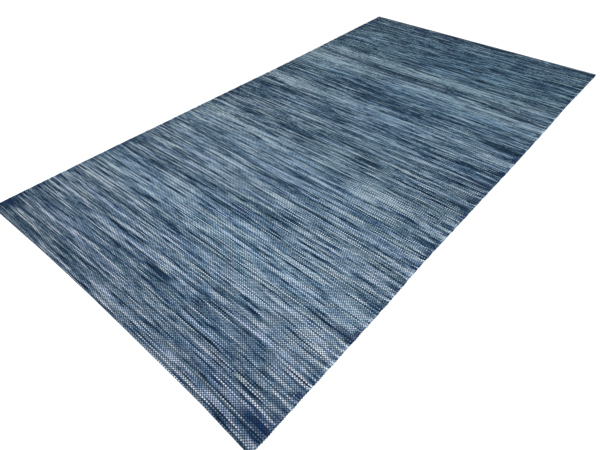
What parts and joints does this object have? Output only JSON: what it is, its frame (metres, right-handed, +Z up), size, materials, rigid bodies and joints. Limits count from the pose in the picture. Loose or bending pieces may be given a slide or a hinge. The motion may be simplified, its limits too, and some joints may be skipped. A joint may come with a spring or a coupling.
{
  "type": "wool rug",
  "caption": "Flat-woven wool rug in blue, slate and pale grey yarn that streaks across its width, with firm selvedges and turned hems; lies flat to cover a floor.",
  "frame": {"origin": "on the floor under the centre of the rug's bounding box", "axes": "+X runs across the rug along the weft, +Y runs along its length from the near short end to the far one, +Z is up from the floor to the face of the cloth"},
  "size_m": [1.6166, 3.015, 0.0063],
  "materials": {
    "wool_weave": "plain-woven wool, matt and slightly fuzzy; yarn dyed in uneven lengths of navy, slate blue, grey blue and pale grey, so that long soft streaks run across the rug"
  },
  "bodies": {
    "root": {"woven_rug": "wool_weave"}
  },
  "joints": []
}
